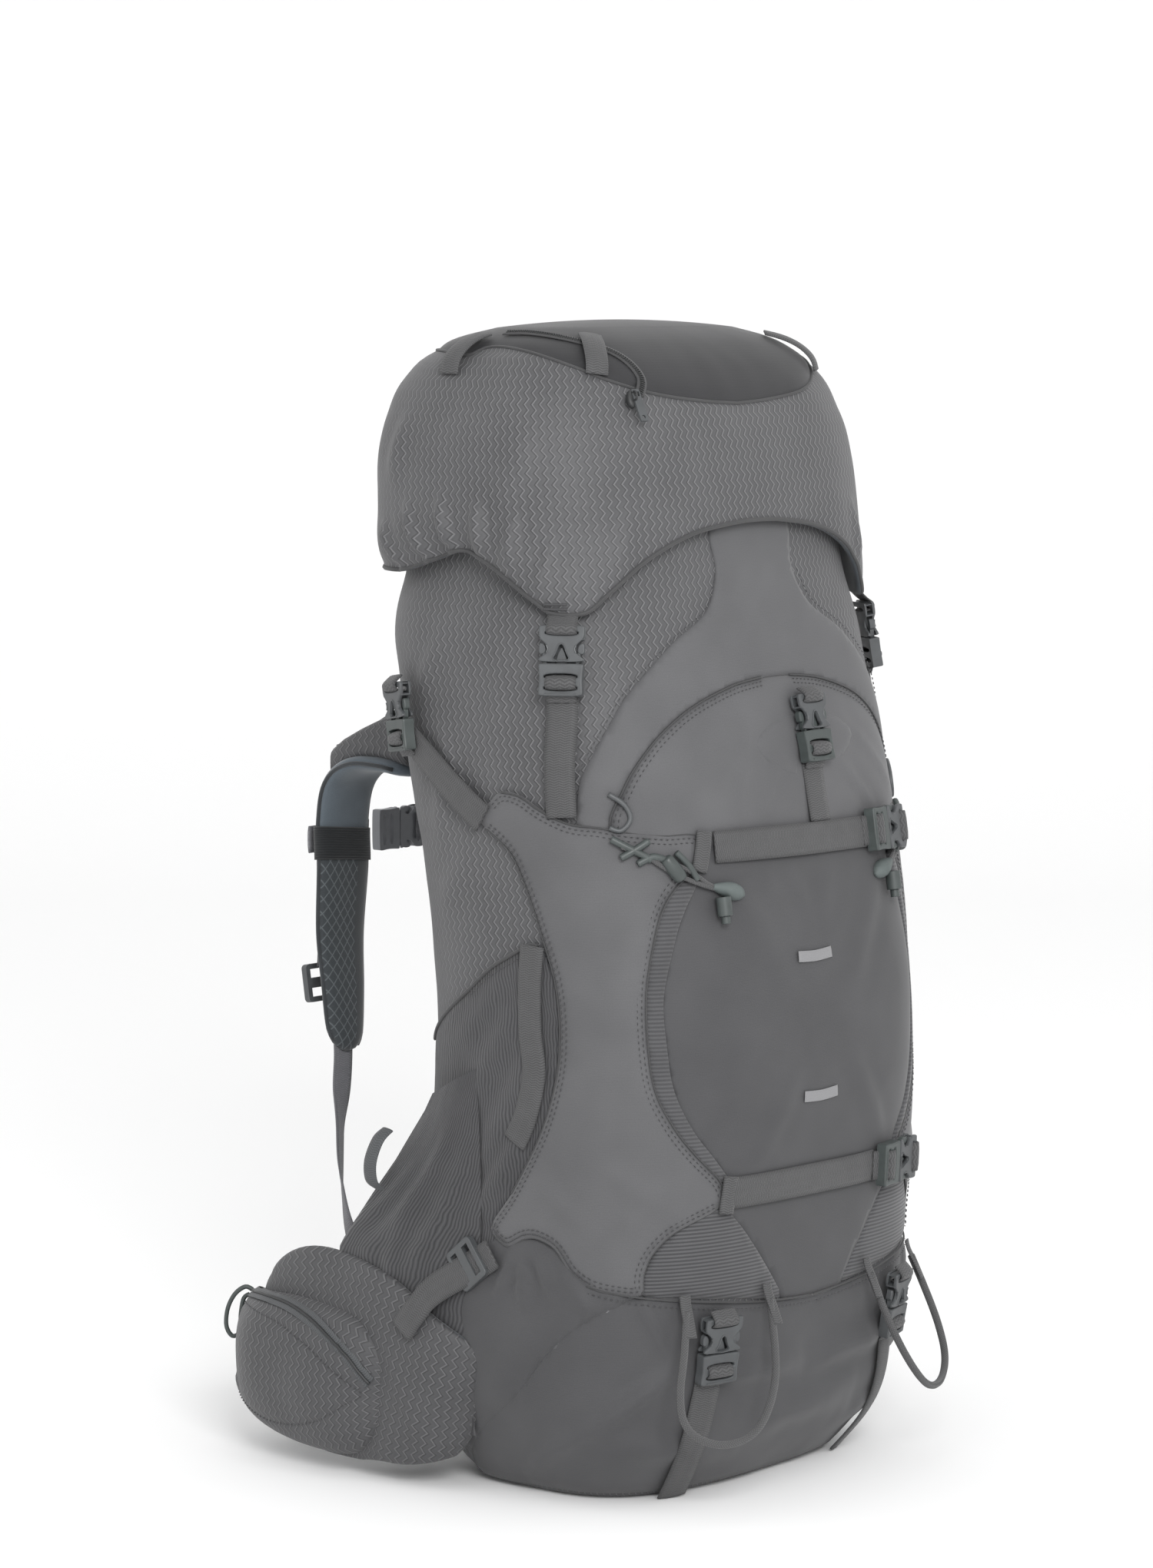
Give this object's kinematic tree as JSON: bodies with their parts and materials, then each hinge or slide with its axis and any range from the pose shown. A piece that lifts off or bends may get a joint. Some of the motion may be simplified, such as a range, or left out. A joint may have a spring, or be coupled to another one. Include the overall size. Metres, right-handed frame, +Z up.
{
  "type": "hiking backpack",
  "caption": "Grey top-loading trekking backpack with a floating lid, stretch pockets, compression straps, shoulder harness and padded hip belt.",
  "frame": {"origin": "middle of the flat base, on the surface that the pack stands on", "axes": "+Z up, -Y the front panel, +Y the harness side, +X to the right of a person facing the front panel"},
  "size_m": [0.4008, 0.4213, 0.757],
  "materials": {
    "ripstop": "matt ripstop nylon with a raised zigzag grid",
    "bag_fabric": "matt ripstop nylon with a raised zigzag grid",
    "plain_fabric": "smooth matt oxford nylon",
    "stretch": "ribbed stretch-woven pocket fabric",
    "webbing": "woven nylon webbing",
    "buckle": "satin moulded acetal",
    "zipper": "coated coil zip tape",
    "foam": "smooth blue-grey bonded foam and mesh",
    "frame_plastic": "black polyethylene sheet",
    "frame_metal": "bare aluminium flat stay",
    "cord": "braided elastic cord"
  },
  "bodies": {
    "pack": {"back_panel": "foam", "buckle_sockets": "buckle", "collar": "ripstop", "collar_drawcord": "cord", "cord_locks": "buckle", "flap_panel": "plain_fabric", "frame_sheet": "frame_plastic", "frame_stays": "frame_metal", "front_arch": "plain_fabric", "front_pocket": "plain_fabric", "front_straps": "webbing", "harness_webbing": "webbing", "hydration_sleeve": "bag_fabric", "ladder_locks": "buckle", "lid_rear_straps": "webbing", "lid_straps": "webbing", "load_lifters": "webbing", "lumbar_pad": "foam", "main_bag": "bag_fabric", "pad_straps": "webbing", "pocket_apron": "stretch", "pocket_gussets": "stretch", "pole_loops": "webbing", "shoulder_strap_left": "foam", "shoulder_strap_right": "foam", "side_pocket_left": "stretch", "side_pocket_right": "stretch", "side_straps": "webbing", "sleeping_bag_flap": "plain_fabric", "strap_adjusters": "buckle", "tool_bungees": "cord", "wing_left": "plain_fabric", "wing_right": "plain_fabric"},
    "lid": {"lid": "ripstop", "lid_zipper": "zipper", "lid_daisy_loops": "webbing", "lid_tabs": "webbing", "lid_sockets": "buckle"},
    "hip_wing_left": {"hip_wing_left": "ripstop", "hip_pocket_left": "ripstop", "hip_plug": "buckle"},
    "hip_wing_right": {"hip_wing_right": "ripstop", "hip_pocket_right": "ripstop", "hip_socket": "buckle"},
    "chest_strap": {"sternum_strap": "webbing", "sternum_socket": "buckle"},
    "haul_loop": {"haul_loop": "webbing"},
    "ice_axe_loop_left": {"ice_axe_loop_left": "webbing"},
    "ice_axe_loop_right": {"ice_axe_loop_right": "webbing"},
    "lid_zip_pull": {"lid_zip_pull": "buckle"},
    "flap_plug": {"flap_plug": "buckle"},
    "front_high_plug": {"front_high_plug": "buckle"},
    "front_low_plug": {"front_low_plug": "buckle"},
    "lid_plug_left": {"lid_plug_left": "buckle"},
    "pad_plug_left": {"pad_plug_left": "buckle"},
    "side_plug_left": {"side_plug_left": "buckle"},
    "lid_plug_right": {"lid_plug_right": "buckle"},
    "pad_plug_right": {"pad_plug_right": "buckle"},
    "side_plug_right": {"side_plug_right": "buckle"},
    "sternum_plug": {"sternum_plug": "buckle"}
  },
  "joints": [
    {"name": "lid_open", "type": "hinge", "parent": "pack", "child": "lid", "pos_m": [0, 0.13, 0.578], "axis": [-1, 0, 0], "range_deg": [0, 85]},
    {"name": "hip_wing_left_swing", "type": "hinge", "parent": "pack", "child": "hip_wing_left", "pos_m": [-0.176, 0.042, 0.07], "axis": [0, 0, 1], "range_deg": [0, 45]},
    {"name": "hip_wing_right_swing", "type": "hinge", "parent": "pack", "child": "hip_wing_right", "pos_m": [0.176, 0.042, 0.07], "axis": [0, 0, -1], "range_deg": [0, 45]},
    {"name": "flap_plug_release", "type": "slide", "parent": "pack", "child": "flap_plug", "axis": [0.0014, -0.1771, -0.9842], "range_m": [0, 0.015]},
    {"name": "front_high_plug_release", "type": "slide", "parent": "pack", "child": "front_high_plug", "axis": [-0.9807, -0.1924, 0.0342], "range_m": [0, 0.015]},
    {"name": "front_low_plug_release", "type": "slide", "parent": "pack", "child": "front_low_plug", "axis": [-0.9857, -0.1682, -0.0032], "range_m": [0, 0.015]},
    {"name": "lid_plug_left_release", "type": "slide", "parent": "pack", "child": "lid_plug_left", "axis": [-0.1349, -0.0826, -0.9874], "range_m": [0, 0.015]},
    {"name": "pad_plug_left_release", "type": "slide", "parent": "pack", "child": "pad_plug_left", "axis": [0.0197, 0.0763, -0.9969], "range_m": [0, 0.015]},
    {"name": "side_plug_left_release", "type": "slide", "parent": "pack", "child": "side_plug_left", "axis": [-0.0552, -0.1245, -0.9907], "range_m": [0, 0.015]},
    {"name": "lid_plug_right_release", "type": "slide", "parent": "pack", "child": "lid_plug_right", "axis": [0.1349, -0.0826, -0.9874], "range_m": [0, 0.015]},
    {"name": "pad_plug_right_release", "type": "slide", "parent": "pack", "child": "pad_plug_right", "axis": [-0.0197, 0.0763, -0.9969], "range_m": [0, 0.015]},
    {"name": "side_plug_right_release", "type": "slide", "parent": "pack", "child": "side_plug_right", "axis": [0.0552, -0.1245, -0.9907], "range_m": [0, 0.015]},
    {"name": "chest_strap_height", "type": "slide", "parent": "pack", "child": "chest_strap", "axis": [0, 0, 1], "range_m": [-0.04, 0.008]},
    {"name": "sternum_plug_release", "type": "slide", "parent": "chest_strap", "child": "sternum_plug", "axis": [-1, 0, 0], "range_m": [0, 0.015]},
    {"name": "haul_loop_swing", "type": "hinge", "parent": "pack", "child": "haul_loop", "pos_m": [0, 0.119, 0.54], "axis": [1, 0, 0], "range_deg": [0, 90]},
    {"name": "ice_axe_loop_left_swing", "type": "hinge", "parent": "pack", "child": "ice_axe_loop_left", "pos_m": [-0.09004, -0.14832, 0.137], "axis": [-0.9785, 0.2063, 0], "range_deg": [0, 80]},
    {"name": "ice_axe_loop_right_swing", "type": "hinge", "parent": "pack", "child": "ice_axe_loop_right", "pos_m": [0.09004, -0.14832, 0.137], "axis": [-0.9785, -0.2063, 0], "range_deg": [0, 80]},
    {"name": "lid_zip_pull_swing", "type": "hinge", "parent": "lid", "child": "lid_zip_pull", "pos_m": [-0.10038, -0.07907, 0.71755], "axis": [-0.9669, 0.2553, 0], "range_deg": [0, 80]}
  ]
}
